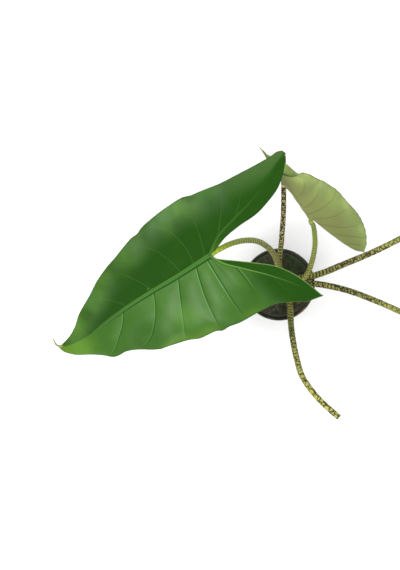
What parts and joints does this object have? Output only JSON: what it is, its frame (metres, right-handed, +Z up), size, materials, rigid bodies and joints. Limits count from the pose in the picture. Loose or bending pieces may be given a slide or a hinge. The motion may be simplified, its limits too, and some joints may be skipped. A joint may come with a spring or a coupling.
{
  "type": "potted zebrina alocasia",
  "caption": "Potted zebrina alocasia with banded leaf stalks, one large arrow-shaped blade, a young rolled leaf and a round black nursery pot.",
  "frame": {"origin": "centre of the underside of the pot's base", "axes": "+Z up; -X towards the tip side of the largest blade, +Y towards the young leaf"},
  "size_m": [0.6818, 0.4215, 0.5833],
  "materials": {
    "pot_plastic": "satin black",
    "potting_soil": "crumbly, moist, with bark and moss",
    "corm_skin": "papery brown",
    "stalk_skin": "smooth, pale yellow-green with dark brown bands",
    "leaf_green": "glossy deep green, paler veins",
    "young_leaf_green": "matt pale green back, fine veins"
  },
  "bodies": {
    "root": {"pot": "pot_plastic", "soil": "potting_soil", "corm_with_roots": "corm_skin", "stalk_big_leaf": "stalk_skin", "stalk_cut_back": "stalk_skin", "stalk_young_leaf": "stalk_skin", "stalk_upper_leaf": "stalk_skin", "stalk_lower_leaf": "stalk_skin", "stalk_cut_front": "stalk_skin", "blade_big_leaf": "leaf_green", "blade_upper_leaf": "leaf_green", "blade_lower_leaf": "leaf_green", "blade_young_leaf": "young_leaf_green"}
  },
  "joints": []
}
